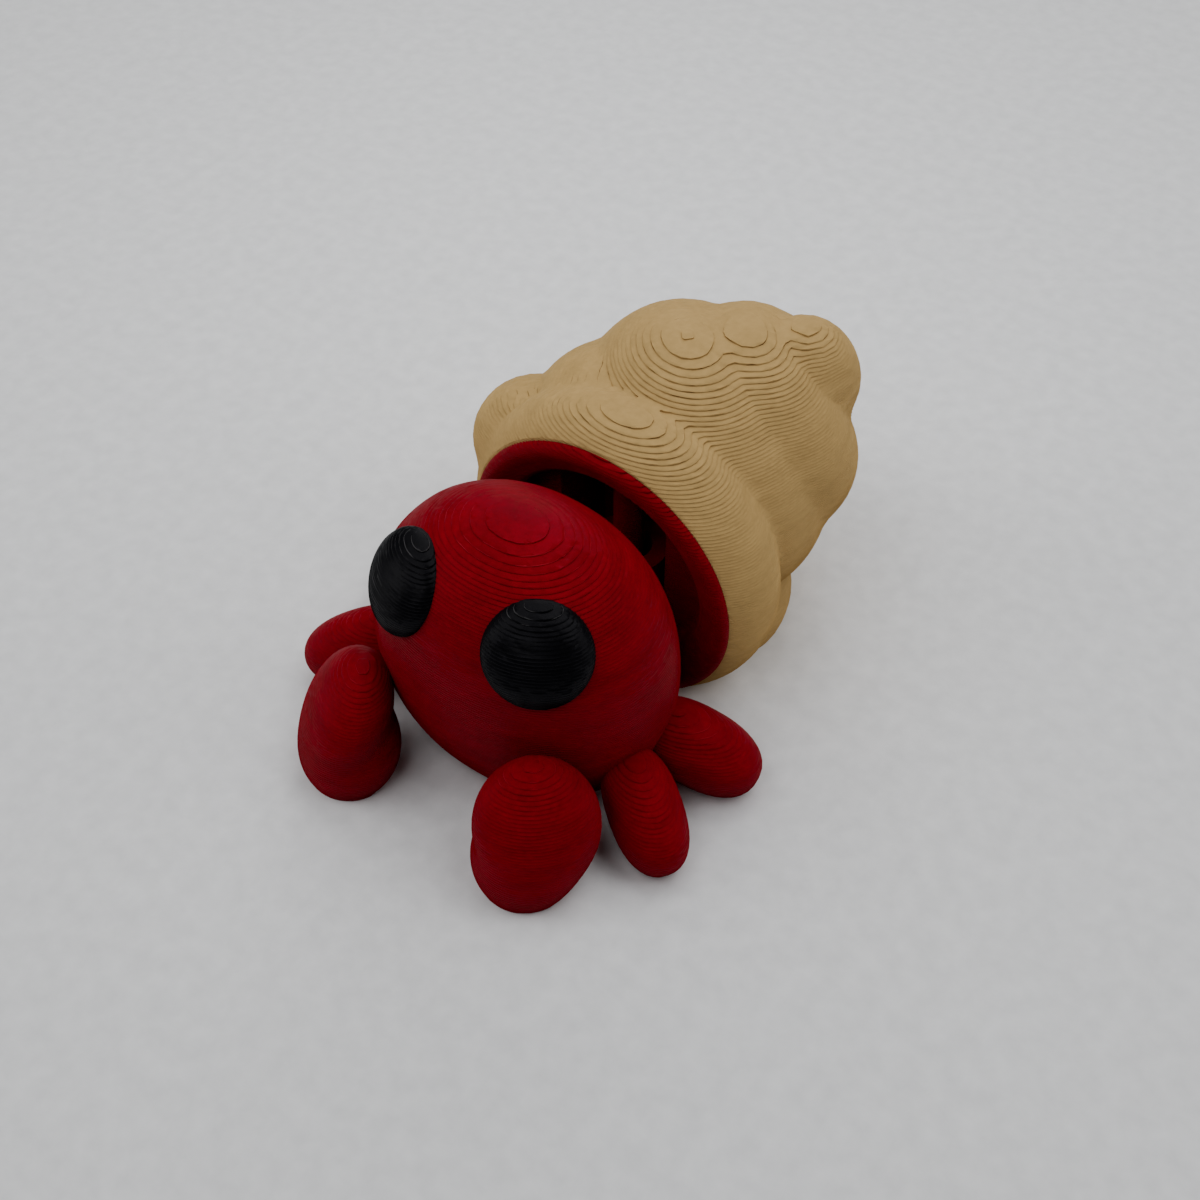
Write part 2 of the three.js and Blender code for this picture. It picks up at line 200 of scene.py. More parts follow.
def globe(columns, rows):
    """Points on a unit sphere and its triangles. A row of points for each angle from the
    pole, (sin a cos b, sin a sin b, cos a), between two single points at the poles."""
    down = np.linspace(0, np.pi, rows + 1)[1:-1, None]
    round_ = np.linspace(0, 2 * np.pi, columns, endpoint=False)[None]
    ring = np.stack(
        [np.sin(down) * np.cos(round_), np.sin(down) * np.sin(round_), np.cos(down) + 0 * round_],
        axis=-1,
    ).reshape(-1, 3)
    points = np.concatenate([[[0, 0, 1]], ring, [[0, 0, -1]]])
    i = np.arange(columns)
    j = (i + 1) % columns
    top = np.stack([np.zeros_like(i), 1 + i, 1 + j], axis=1)
    low = 1 + (rows - 2) * columns
    bottom = np.stack([np.full_like(i, len(points) - 1), low + j, low + i], axis=1)
    r = np.arange(rows - 2)[:, None] * columns + 1
    a, b, c, d = r + i, r + j, r + columns + j, r + columns + i
    sides = np.stack([a, d, c, a, c, b], axis=-1).reshape(-1, 3)
    return points, np.concatenate([top, sides, bottom])


def turned(section, columns):
    """A closed form made by turning a section round the mouth's centre line: at angle b a
    point (r, y) lies at (r sin b, y, r cos b). Sections that touch the line close there."""
    section = np.array(section, float)
    b = np.linspace(0, 2 * np.pi, columns, endpoint=False)
    r, y = section[:, :1], section[:, 1:]
    points = np.stack(
        [MOUTH_X + r * np.sin(b), y + 0 * b, MOUTH_Z + r * np.cos(b)], axis=-1
    ).reshape(-1, 3)
    rows = len(section)
    i = np.arange(columns)
    j = (i + 1) % columns
    r0 = np.arange(rows)[:, None] * columns
    r1 = (np.arange(1, rows + 1) % rows)[:, None] * columns
    a, b, c, d = r0 + i, r0 + j, r1 + j, r1 + i
    corners = np.stack([a, b, c, a, c, d], axis=-1).reshape(-1, 3)
    return facing_out(*weld(points, corners))


def facing_out(points, corners):
    """The same closed form with its faces outwards: they are turned over if the sum of
    a . (b x c), six times the volume inside, is negative."""
    a, b, c = (points[corners[:, i]] for i in range(3))
    inside = np.einsum("ij,ij->", a, np.cross(b, c))
    return points, corners if inside > 0 else corners[:, ::-1]


def weld(points, corners):
    """Joins points that lie together and drops the triangles that close up."""
    keys = np.round(points * 1e5).astype(np.int64)
    _, first, which = np.unique(keys, axis=0, return_index=True, return_inverse=True)
    corners = which.reshape(-1)[corners]
    a, b, c = corners.T
    return points[first], corners[(a != b) & (b != c) & (c != a)]


def head_form():
    """The head and the low torso below it: each direction of a globe divided by
    ((|x|^p + |y|^p)^(s/p) + |z|^s)^(1/s), drawn out to three radii, and leant forward."""
    points, corners = globe(*HEAD_GRID)
    x, y, z = np.abs(points).T
    around = (x**HEAD_PLAN + y**HEAD_PLAN) ** (1 / HEAD_PLAN)
    size = (around**HEAD_SIDE + z**HEAD_SIDE) ** (1 / HEAD_SIDE)
    points = points / size[:, None] * HEAD_RADII
    return points @ turn_x(HEAD_LEAN).T + HEAD_CENTRE, corners


def leg_form(side, centre, radii, turn, droop):
    """A leg: a unit sphere with |y| and the distance across Y raised to LEG_BLUNTNESS, which
    fills out its ends, then drawn out to three radii, turned and placed. Side -1 is the
    mirror image of side 1."""
    points, corners = globe(*LEG_GRID)
    across = np.hypot(points[:, 0], points[:, 2])
    widen = np.where(across > 1e-9, np.maximum(across, 1e-9) ** (LEG_BLUNTNESS - 1), 1.0)
    along = np.sign(points[:, 1]) * np.abs(points[:, 1]) ** LEG_BLUNTNESS
    points = np.stack([points[:, 0] * widen, along, points[:, 2] * widen], axis=1)
    spin = turn_z(side * turn) @ turn_x(droop)
    return facing_out((points * radii) @ spin.T + np.array(centre) * (side, 1, 1), corners)


def eye_form(side):
    """An eye: a flat egg facing out from the head, standing a little proud of it."""
    spin = turn_z(side * EYE_TURN) @ turn_x(-EYE_RISE)
    out = spin @ np.array([0, -1, 0])
    centre = EYE_PLACE * (side, 1, 1) + HEAD_CENTRE - EYE_SINK * out
    points, corners = globe(*EYE_GRID)
    return (points * (EYE_RADIUS, EYE_DEPTH, EYE_RADIUS)) @ spin.T + centre, corners


def spiral_axes():
    """The spiral's axis and the two directions square to it, as rows."""
    turn, rise = math.radians(SPIRAL_TURN), math.radians(SPIRAL_RISE)
    axis = np.array([
        math.sin(turn) * math.cos(rise),
        math.cos(turn) * math.cos(rise),
        math.sin(rise),
    ])
    level = np.cross(axis, [0, 0, 1])
    level /= np.linalg.norm(level)
    return axis, level, np.cross(level, axis)


def through_stations(values, turns):
    """The Catmull-Rom curve through one value for each whole turn."""
    v = np.concatenate([[2 * values[0] - values[1]], values, [2 * values[-1] - values[-2]]])
    place = turns - FIRST_STATION
    i = np.clip(np.floor(place).astype(int), 0, len(v) - 4)
    t = place - i
    p0, p1, p2, p3 = v[i], v[i + 1], v[i + 2], v[i + 3]
    return (
        p1
        + 0.5 * t * (p2 - p0)
        + 0.5 * t**2 * (2 * p0 - 5 * p1 + 4 * p2 - p3)
        + 0.5 * t**3 * (3 * (p1 - p2) + p3 - p0)
    )


def shell_balls():
    """Every ball of the shell as (x, y, z, radius), and its weight. A ball of the spiral is
    at foot + axis * along + away * (level * cos a + upward * sin a). The rim's balls lie on
    a ring, at (r sin b, y, r cos b) from its centre, and the heel is a single ball."""
    turns = np.linspace(FIRST_TURN, LAST_TURN, BALLS)
    away = through_stations(SPIRAL_AWAY, turns)
    radius = through_stations(SPIRAL_RADIUS, turns)
    along = SPIRAL_START + SPIRAL_PITCH * (turns - FIRST_STATION)
    axis, level, upward = spiral_axes()
    a = math.radians(SPIRAL_PHASE) + 2 * np.pi * turns
    centres = (
        SPIRAL_FOOT
        + along[:, None] * axis
        + (away * np.cos(a))[:, None] * level
        + (away * np.sin(a))[:, None] * upward
    )
    balls = np.column_stack([centres, radius])
    b = np.linspace(0, 2 * np.pi, RIM_BALLS, endpoint=False)
    swell = RIM_SWELL * (1 + np.cos(b - math.radians(RIM_SWELL_AT))) / 2
    ring = RIM_RADIUS - RIM_INWARD * swell
    places = np.stack([ring * np.sin(b), RIM_BACKWARD * swell, ring * np.cos(b)], axis=1)
    rim = np.column_stack([RIM_CENTRE + places, RIM_TUBE + swell])
    weights = [np.full(BALLS, SPIRAL_WEIGHT), np.full(RIM_BALLS, RIM_WEIGHT), [1.0]]
    return np.concatenate([balls, rim, [HEEL_BALL]]), np.concatenate(weights)


def leaving(rays, core, centre, radii, spin):
    """How far from the core each ray leaves a turned egg: the greater root s of
    |o + s d| = 1, with o the core and d the ray in the egg's own unit sphere. A ray that
    misses takes the nearest thing to a root, which falls away smoothly."""
    o = (core - centre) @ spin / radii
    d = rays @ spin / radii
    a, b, c = (d**2).sum(1), d @ o, o @ o - 1
    inside = b**2 - a * c
    return (np.sign(inside) * np.sqrt(np.abs(inside)) - b) / a


def soft_maximum(distances, weights, sharpness):
    """log(sum(w exp(k d))) / k along each row: a maximum with its corners rounded off."""
    farthest = distances.max(1, keepdims=True)
    total = (weights * np.exp(sharpness * (distances - farthest))).sum(1)
    return farthest + np.log(total)[:, None] / sharpness


def shell_form():
    """The shell's outside, on a globe whose poles lie on the spiral's axis: the soft
    maximum of how far out from the core each ball reaches along each ray."""
    points, corners = globe(*SHELL_GRID)
    axis, level, upward = spiral_axes()
    rays = points @ np.stack([level, upward, axis])
    balls, weights = shell_balls()
    straight = np.eye(3)
    reach = [leaving(rays, SHELL_CORE, ball[:3], ball[3], straight) for ball in balls]
    reach = soft_maximum(np.stack(reach, axis=1), weights, SHARPNESS)
    return facing_out(SHELL_CORE + rays * reach, corners)


def claw_form(side):
    """A claw: a mitt with a small notch where its two eggs meet."""
    rays, corners = globe(*CLAW_GRID)
    eggs = (CLAW_LOW, CLAW_HIGH)
    core = np.mean([e["centre"] for e in eggs], axis=0)
    reach = []
    for e in eggs:
        spin = turn_z(e["turn"]) @ turn_x(e["droop"])
        reach.append(leaving(rays, core, np.array(e["centre"]), np.array(e["radii"]), spin))
    reach = soft_maximum(np.stack(reach, axis=1), np.ones(2), CLAW_SHARPNESS)
    return facing_out((core + rays * reach) * (side, 1, 1), corners)


# ---- joining and cutting --------------------------------------------------------------


def as_mesh(name, points, corners):
    """A new mesh of these triangles."""
    mesh = bpy.data.meshes.new(name)
    mesh.vertices.add(len(points))
    mesh.vertices.foreach_set("co", np.asarray(points, np.float32).ravel())
    mesh.loops.add(3 * len(corners))
    mesh.loops.foreach_set("vertex_index", np.asarray(corners, np.int32).ravel())
    mesh.polygons.add(len(corners))
    mesh.polygons.foreach_set("loop_start", np.arange(0, 3 * len(corners), 3, dtype=np.int32))
    mesh.update(calc_edges=True)
    return mesh


def solid(kind, first, *others):
    """Closed forms joined to the first one, cut away from it or kept where they meet it."""
    made = []
    for points, corners in (first, *others):
        o = bpy.data.objects.new("form", as_mesh("form", points, corners))
        bpy.context.scene.collection.objects.link(o)
        made.append(o)
    for other in made[1:]:
        change = made[0].modifiers.new("join", "BOOLEAN")
        change.operation = kind
        change.object = other
        change.solver = "EXACT"
    ready = made[0].evaluated_get(bpy.context.evaluated_depsgraph_get())
    mesh = ready.to_mesh()
    mesh.calc_loop_triangles()
    points = np.empty(len(mesh.vertices) * 3, np.float32)
    mesh.vertices.foreach_get("co", points)
    corners = np.empty(len(mesh.loop_triangles) * 3, np.int32)
    mesh.loop_triangles.foreach_get("vertices", corners)
    ready.to_mesh_clear()
    for o in made:
        data = o.data
        bpy.data.objects.remove(o)
        bpy.data.meshes.remove(data)
    return weld(points.reshape(-1, 3).astype(float), corners.reshape(-1, 3).astype(np.int64))


def block(low, high):
    """A box between two corners."""
    points = np.array([[x, y, z] for x in (0, 1) for y in (0, 1) for z in (0, 1)], float)
    points = np.array(low) + points * (np.array(high) - np.array(low))
    corners = np.array([
        (0, 1, 3), (0, 3, 2), (4, 6, 7), (4, 7, 5), (0, 4, 5), (0, 5, 1),
        (2, 3, 7), (2, 7, 6), (0, 2, 6), (0, 6, 4), (1, 5, 7), (1, 7, 3),
    ])
    return facing_out(points, corners)


def upright_bar(x, y, radius, low, high, columns):
    """A round bar that stands upright."""
    b = np.linspace(0, 2 * np.pi, columns, endpoint=False)
    ring = np.stack([x + radius * np.cos(b), y + radius * np.sin(b)], axis=1)
    points = np.concatenate([
        np.column_stack([ring, np.full(columns, low)]),
        np.column_stack([ring, np.full(columns, high)]),
        [[x, y, low], [x, y, high]],
    ])
    i = np.arange(columns)
    j = (i + 1) % columns
    n = 2 * columns
    corners = np.concatenate([
        np.stack([i, j, j + columns], 1),
        np.stack([i, j + columns, i + columns], 1),
        np.stack([np.full_like(i, n), j, i], 1),
        np.stack([np.full_like(i, n + 1), i + columns, j + columns], 1),
    ])
    return points, corners


def collar_form():
    """The collar in the shell's mouth, with the room for the link cut out of its middle,
    and the pin that stands in that room on two arms."""
    front, back, end = SLOT_FRONT, SLOT_BACK, SLOT_RADIUS + ARM_OVERLAP
    room = turned(((0, front), (SLOT_RADIUS, front), (SLOT_RADIUS, back), (0, back)), ROOM_COLUMNS)
    slot = block((-SLOT_HALF_WIDTH, front - 0.5, -5), (SLOT_HALF_WIDTH, back + 0.5, 20))
    room = solid("INTERSECT", room, slot)
    collar = solid("DIFFERENCE", turned(COLLAR_SECTION, COLLAR_COLUMNS), room)
    arms = []
    for low, high in ((ARM_HIGH, end), (-end, ARM_LOW)):
        arms.append(block(
            (-PIN_RADIUS, ARM_FRONT, MOUTH_Z + low),
            (PIN_RADIUS, PIN_Y + PIN_RADIUS, MOUTH_Z + high),
        ))
    pin = upright_bar(0.0, PIN_Y, PIN_RADIUS, PIN_BOTTOM, PIN_TOP, PIN_COLUMNS)
    return solid("DIFFERENCE", solid("UNION", collar, pin, *arms), FLOOR_CUT)


def point_normals(points, corners):
    """The mean of the faces round each point, weighted by area, as unit vectors."""
    a, b, c = (points[corners[:, i]] for i in range(3))
    face = np.cross(b - a, c - a)
    normals = np.zeros_like(points)
    for i in range(3):
        np.add.at(normals, corners[:, i], face)
    return normals / np.maximum(np.linalg.norm(normals, axis=1, keepdims=True), 1e-12)


def unevenness(points):
    """A slow wander between about -1 and 1: the sum of all WAVES, each a sine of the place."""
    return sum(size * np.sin(points @ np.array(slant) + start) for size, slant, start in WAVES)


def risen(value, start, full):
    """0 up to `start`, 1 from `full` on, and a straight rise between them."""
    return np.clip((value - start) / (full - start), 0, 1)


def step_share(up, points, most):
    """The share of a layer that is a true step, from the upward part of the normal: all of
    `most` on a gentle slope, fading to STEEP_STEP of it on a steep one."""
    gentle = risen(up, STEEP_UP, GENTLE_UP)
    gentle = gentle**2 * (3 - 2 * gentle)
    change = 1 + STEP_CHANGE * unevenness(STEP_PATCH * points)
    return most * (STEEP_STEP + (1 - STEEP_STEP) * gentle) * change


def in_levels(points):
    """Each point's height counted in levels, with the surface's unevenness added. Level k is
    at height FIRST_LAYER + (k - 1) * LAYER. No point lies right on a cut, which is half way
    between two levels."""
    level = (points[:, 2] - FIRST_LAYER + LAYER) / LAYER + WANDER * unevenness(points)
    level = np.maximum(level, 0.0)
    on_cut = np.abs(level % 1 - 0.5) < CUT_MARGIN
    return level + np.where(on_cut, CUT_NUDGE, 0)


def leaning(points, corners):
    """How each point moves out at a layer's bulge, which is less where the surface lies
    nearly flat, and the upward part of its normal."""
    normals = point_normals(points, corners)
    outward, up = normals[:, :2], np.abs(normals[:, 2])
    length = np.linalg.norm(outward, axis=1, keepdims=True)
    return outward / np.maximum(length, LEAST_LEAN), up


def layered(points, corners, most=STEP):
    """The surface as printed, and for each of its points how plainly a layer's edge shows
    in colour there, which places the painted highlight and shade along the edges: 1 on a gentle
    slope, 0 on a steep one and away from edges. Every triangle is cut half way between levels,
    each part goes flat to its level, and upright walls with a rounded edge join the flats.
    Level 0 is the floor."""
    level = in_levels(points)
    flat = np.floor(level + 0.5).astype(np.int64)
    top = flat.max() + 2
    heights = np.where(np.arange(top) > 0, FIRST_LAYER + (np.arange(top) - 1) * LAYER, 0.0)
    outward, up = leaning(points, corners)

    # Each triangle's corners from low to high, and whether that order turns it over.
    order = np.argsort(level[corners], axis=1, kind="stable")
    low, mid, high = np.take_along_axis(corners, order, 1).T
    turned_over = (order[:, 1] - order[:, 0]) % 3 != 1

    # One row for each cut through each triangle. A cut runs from the triangle's long side,
    # low to high, to one of the two short sides.
    count = flat[high] - flat[low]
    triangle = np.repeat(np.arange(len(corners)), count)
    first = np.concatenate([[0], np.cumsum(count)[:-1]])
    cut = flat[low][triangle] + np.arange(len(triangle)) - first[triangle]
    low_side = cut < flat[mid][triangle]
    sides = (
        (low[triangle], high[triangle]),
        (
            np.where(low_side, low[triangle], mid[triangle]),
            np.where(low_side, mid[triangle], high[triangle]),
        ),
    )

    # Points on the cuts, shared between neighbouring triangles.
    keys = []
    for a, b in sides:
        p, q = np.minimum(a, b), np.maximum(a, b)
        keys.append((p * len(points) + q) * top + cut)
    unique, where = np.unique(np.concatenate(keys), return_inverse=True)
    on_long, on_short = where.reshape(2, -1)
    side, at = unique // top, unique % top
    p, q = side // len(points), side % len(points)
    t = (at + 0.5 - level[p]) / (level[q] - level[p])
    rise = up[p] * (1 - t) + up[q] * t
    t = t[:, None]
    place = points[p, :2] * (1 - t) + points[q, :2] * t
    lean = BEAD * (outward[p] * (1 - t) + outward[q] * t)

    # Three rows of points on each cut: the wall's foot, its bulging waist and its brow.
    half_way = (heights[at] + heights[at + 1]) / 2
    step = step_share(rise, np.column_stack([place, half_way]), most)
    under = np.where(at > 0, half_way + step * (heights[at] - half_way), 0.0)
    over = half_way + step * (heights[at + 1] - half_way)
    true_height = np.maximum(points[:, 2], 0.0)
    step = step_share(up, points, most)
    settled = np.where(flat > 0, true_height + step * (heights[flat] - true_height), 0.0)
    new_points = np.concatenate([
        np.column_stack([points[:, :2] - BEAD * outward, settled]),
        np.column_stack([place - lean, under]),
        np.column_stack([place + lean, half_way]),
        np.column_stack([place - lean, over]),
    ])
    # How plainly each row of an edge shows in colour: the mask for the painted highlight and shade
    # along the layers' edges.
    shows = risen(rise, EDGE_START_UP, EDGE_FULL_UP)
    edges = np.concatenate([
        np.zeros(len(points)), EDGE_FOOT * shows, EDGE_WAIST * shows, EDGE_BROW * shows
    ])
    foot = len(points) + np.arange(len(unique))
    waist, brow = foot + len(unique), foot + 2 * len(unique)

    # Walls: two strips for each cut.
    l, m = on_long, on_short
    walls = np.concatenate([
        np.stack([foot[l], foot[m], waist[m]], 1),
        np.stack([foot[l], waist[m], waist[l]], 1),
        np.stack([waist[l], waist[m], brow[m]], 1),
        np.stack([waist[l], brow[m], brow[l]], 1),
    ])

    # Flats: each part of a triangle, between the cut below and the cut above it, or between
    # a cut and a corner. Where the middle corner is in the part, it is a point of the flat.
    parts = count + 1
    owner = np.repeat(np.arange(len(corners)), parts)
    start = np.concatenate([[0], np.cumsum(parts)[:-1]])
    part = np.arange(len(owner)) - start[owner]
    is_first, is_last = part == 0, part == count[owner]
    row = first[owner] + part  # the cut above this part; the one below is row - 1
    above = np.minimum(row, max(len(triangle) - 1, 0))
    below = np.maximum(row - 1, 0)
    low_long = np.where(is_first, low[owner], brow[l[below]])
    low_short = np.where(is_first, low[owner], brow[m[below]])
    high_long = np.where(is_last, high[owner], foot[l[above]])
    high_short = np.where(is_last, high[owner], foot[m[above]])
    has_mid = flat[mid][owner] == flat[low][owner] + part
    middle = np.where(has_mid, mid[owner], low_short)
    flats = np.concatenate([
        np.stack([low_long, low_short, middle], 1),
        np.stack([low_long, middle, high_short], 1),
        np.stack([low_long, high_short, high_long], 1),
    ])

    # All of it, with the triangles of a turned order put right and the empty ones dropped.
    new_corners = np.concatenate([walls, flats])
    wrong = np.concatenate([np.tile(turned_over[triangle], 4), np.tile(turned_over[owner], 3)])
    new_corners[wrong] = new_corners[wrong][:, ::-1]
    a, b, c = new_corners.T
    new_corners = new_corners[(a != b) & (b != c) & (c != a)]
    used, renumbered = np.unique(new_corners, return_inverse=True)
    return new_points[used], renumbered.reshape(-1, 3), edges[used]


# ---- materials ------------------------------------------------------------------------


# The grains of the plastic's patterns: millimetres across, millimetres tall, and detail.
DRIFT_GRAIN, FINE_GRAIN = (2.5, 0.6, 3), (0.35, 0.12, 2)
BREAK_GRAIN, STRAND_GRAIN = (1.3, 1.3, 3), (0.22, 0.09, 3)
FINE_SHARE = 0.45  # the fine grain's part in the colour; the slow drift has the rest
TONE_RANGE = (0.32, 0.66)  # of the two grains together, from the deep colour to the full one
# Where the layers' edges take the edge colour: a painted highlight on the red and black plastic
# and painted shade on the tan.
BREAK_RANGE, REACH_SHIFT = (0.60, 0.66), 0.3  # where edges turn to the edge colour
STRAND_STRENGTH = 0.35


def two_tone(material, value, dark, light, reach):
    """The output of a ramp from dark to light, between the two values of `reach`."""
    ramp = material.node_tree.nodes.new("ShaderNodeValToRGB")
    for element, position, colour in zip(ramp.color_ramp.elements, reach, (dark, light)):
        element.position = position
        element.color = (*colour, 1)
    material.node_tree.links.new(value, ramp.inputs[0])
    return ramp.outputs[0]


def printed_plastic(name, colour, deep, edge, edge_reach, roughness, strand_height, gloss, tint):
    """Printed plastic: colour that drifts slowly and from one layer to the next, and a
    fine skin of strands lying level, with small pits. Broken stretches of the layers'
    edges take on the edge colour, which is painted light: a highlight where it is lighter
    than the plastic and shade where it is darker. A greater edge_reach (0 to 1) makes them longer."""
    material = bpy.data.materials.new(name)
    material.use_nodes = True
    nodes, links = material.node_tree.nodes, material.node_tree.links
    nodes.clear()
    out = nodes.new("ShaderNodeOutputMaterial")
    shader = nodes.new("ShaderNodeBsdfPrincipled")
    links.new(shader.outputs[0], out.inputs[0])
    shader.inputs["Roughness"].default_value = roughness
    shader.inputs["Specular IOR Level"].default_value = gloss
    shader.inputs["Specular Tint"].default_value = (*tint, 1)

    place = nodes.new("ShaderNodeTexCoord")

    def noise(across, tall, detail):
        """Noise with grains of this size in millimetres."""
        stretch = nodes.new("ShaderNodeMapping")
        stretch.inputs["Scale"].default_value = (
            1 / (across * MM), 1 / (across * MM), 1 / (tall * MM)
        )
        links.new(place.outputs["Object"], stretch.inputs[0])
        grain = nodes.new("ShaderNodeTexNoise")
        grain.inputs["Scale"].default_value = 1.0
        grain.inputs["Detail"].default_value = detail
        links.new(stretch.outputs[0], grain.inputs["Vector"])
        return grain.outputs["Fac"]

    def times(value, factor):
        """The output of a product; the factor is a number or another output."""
        product = nodes.new("ShaderNodeMath")
        product.operation = "MULTIPLY"
        links.new(value, product.inputs[0])
        if isinstance(factor, float):
            product.inputs[1].default_value = factor
        else:
            links.new(factor, product.inputs[1])
        return product.outputs[0]

    tone = nodes.new("ShaderNodeMath")
    tone.operation = "ADD"
    links.new(times(noise(*FINE_GRAIN), FINE_SHARE), tone.inputs[0])
    links.new(times(noise(*DRIFT_GRAIN), 1 - FINE_SHARE), tone.inputs[1])

    # Painted highlight and shade along the layers' edges: the edge colour is mixed in where the
    # mask from layered() is high and the noise leaves it unbroken.
    painted_edge_mask = nodes.new("ShaderNodeAttribute")
    painted_edge_mask.attribute_name = "edge_highlight_and_shade_mask"
    broken = nodes.new("ShaderNodeMapRange")
    broken.interpolation_type = "SMOOTHSTEP"
    for end, value in zip(("From Min", "From Max"), BREAK_RANGE):
        broken.inputs[end].default_value = value - REACH_SHIFT * edge_reach
    links.new(times(painted_edge_mask.outputs["Fac"], noise(*BREAK_GRAIN)), broken.inputs[0])
    mix = nodes.new("ShaderNodeMix")
    mix.data_type = "RGBA"
    links.new(broken.outputs[0], mix.inputs["Factor"])
    links.new(two_tone(material, tone.outputs[0], deep, colour, TONE_RANGE), mix.inputs["A"])
    mix.inputs["B"].default_value = (*edge, 1)
    links.new(mix.outputs["Result"], shader.inputs["Base Color"])

    strands = nodes.new("ShaderNodeBump")
    strands.inputs["Strength"].default_value = STRAND_STRENGTH
    strands.inputs["Distance"].default_value = strand_height * MM
    links.new(noise(*STRAND_GRAIN), strands.inputs["Height"])
    links.new(strands.outputs[0], shader.inputs["Normal"])
    return material


RED = printed_plastic(
    "red_plastic",
    colour=(0.225, 0.001, 0.009), deep=(0.15, 0.0006, 0.0055),
    # The edge colour is a painted highlight along the layers' edges.
    edge=(0.33, 0.012, 0.02), edge_reach=0.45,
    roughness=0.5, strand_height=0.03, gloss=0.07, tint=(1.0, 0.12, 0.17),
)
BLACK = printed_plastic(
    "black_plastic",
    colour=(0.003, 0.003, 0.004), deep=(0.001, 0.001, 0.0015),
    # The edge colour is a painted highlight along the rings of the eyes.
    edge=(0.05, 0.048, 0.05), edge_reach=0.7,
    roughness=0.36, strand_height=0.02, gloss=0.06, tint=(0.95, 0.92, 1.0),
)
TAN = printed_plastic(
    "tan_plastic",
    colour=(0.50, 0.325, 0.125), deep=(0.41, 0.265, 0.10),
    # The edge colour is painted shade: dark marks standing for the gaps between layers.
    edge=(0.17, 0.09, 0.03), edge_reach=0.35,
    roughness=0.6, strand_height=0.03, gloss=0.04, tint=(1.0, 0.8, 0.5),
)


# ---- the toy --------------------------------------------------------------------------


SHARP_ANGLE = math.radians(50)  # edges sharper than this are not smoothed over


def add(name, form, material, body, slot, *nodes):
    """A finished piece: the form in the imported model's frame, on its body, in place of the
    nodes that it shows."""
    points, corners, edges = form
    mesh = as_mesh(name, (points + TOY_SHIFT) * MM, corners)
    # The mask for the painted highlight and shade along the layers' edges, read by the material.
    mesh.attributes.new("edge_highlight_and_shade_mask", "FLOAT", "POINT").data.foreach_set("value", edges)
    mesh.materials.append(material)
    mesh.shade_smooth()
    mesh.set_sharp_from_angle(angle=SHARP_ANGLE)
    piece = bpy.data.objects.new(name, mesh)
    bpy.context.scene.collection.objects.link(piece)
    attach(piece, body)
    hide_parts(*nodes)


FLOOR_CUT = block((-30, -30, -20), (30, 40, 0))  # everything below the floor

head = head_form()
add("head_skin", layered(*head, RED_STEP), RED, "crab_side", "red_plastic", "head", "torso")
inside_head = ((head[0] - HEAD_CENTRE) * ROOT_DEPTH + HEAD_CENTRE, head[1])
for side, name in ((1, "left"), (-1, "right")):
    limbs = {
        "claw": claw_form(side),
        "front_leg": leg_form(side, **FRONT_LEG),
        "rear_leg": leg_form(side, **REAR_LEG),
    }
    for limb, form in limbs.items():
        form = solid("DIFFERENCE", form, inside_head)
        node = f"{limb}_{name}"
        add(f"{node}_skin", layered(*form, RED_STEP), RED, "crab_side", "red_plastic", node)
for side, name in ((1, "left"), (-1, "right")):
    eye = layered(*eye_form(side))
    add(f"eye_{name}_skin", eye, BLACK, "crab_side", "black_plastic", f"eye_{name}")

add("collar_skin", layered(*collar_form()), RED, "shell_side", "red_plastic", "collar")

shell = solid("DIFFERENCE", shell_form(), turned(MOUTH_SECTION, MOUTH_COLUMNS), FLOOR_CUT)
add(
    "shell_skin", layered(*shell), TAN, "shell_side", "tan_plastic",
    "shell_body_whorl", "shell_spire",
)

# The one node that still shows, the neck link, is of the crab's plastic.
for o in frame["nodes"].values():
    if not o.hide_render:
        o.data.materials.clear()
        o.data.materials.append(RED)

# ---- floor, light and camera ----------------------------------------------------------

FLOOR_SIZE = 2.0  # metres
FLOOR_DARK, FLOOR_LIGHT = (0.63, 0.635, 0.645), (0.71, 0.715, 0.725)
MOTTLE_SCALE, MOTTLE_DETAIL, MOTTLE_RANGE = 900, 4, (0.3, 0.7)
# A painted pool of light: round one place on the sheet, given in millimetres, the floor's colour
# is the gain brighter, fading out over the reach.
LIGHT_POOL_MIDDLE, LIGHT_POOL_REACH, LIGHT_POOL_GAIN = (-19.0, 27.0, 0.0), 85.0, 1.3


